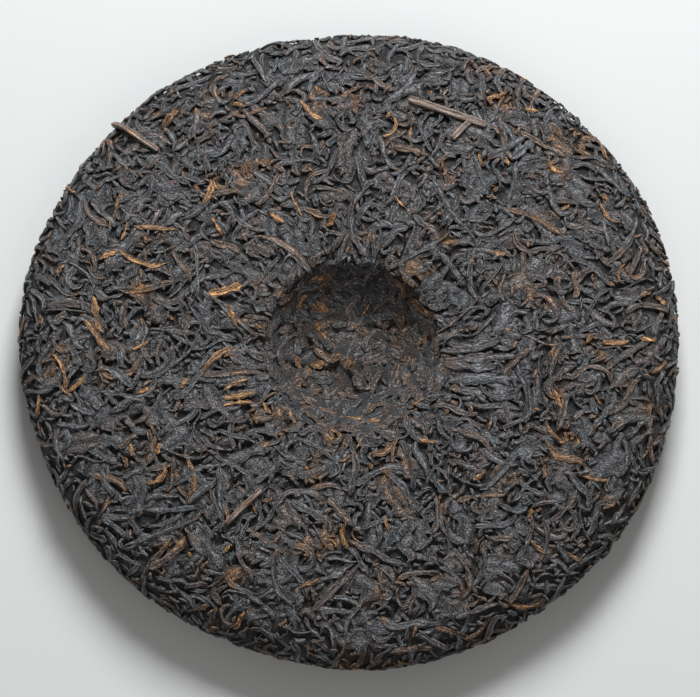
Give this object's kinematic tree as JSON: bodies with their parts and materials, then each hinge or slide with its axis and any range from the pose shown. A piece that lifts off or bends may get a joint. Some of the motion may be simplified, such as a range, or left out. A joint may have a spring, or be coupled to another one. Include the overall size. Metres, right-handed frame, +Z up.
{
  "type": "pu erh tea cake",
  "caption": "Round pressed cake of dark twisted pu erh tea leaves, lying flat with the cloth-knot dimple of its back facing up.",
  "frame": {"origin": "under the middle of the cake's box, on the surface that it lies on", "axes": "+Z up through the dimpled back, X and Y across the cake, with -Y the bottom edge as seen from above"},
  "size_m": [0.1968, 0.1942, 0.0267],
  "materials": {
    "pressed_leaves": "dry rolled leaf, matt to silky"
  },
  "bodies": {
    "root": {"tea_cake": "pressed_leaves"}
  },
  "joints": []
}
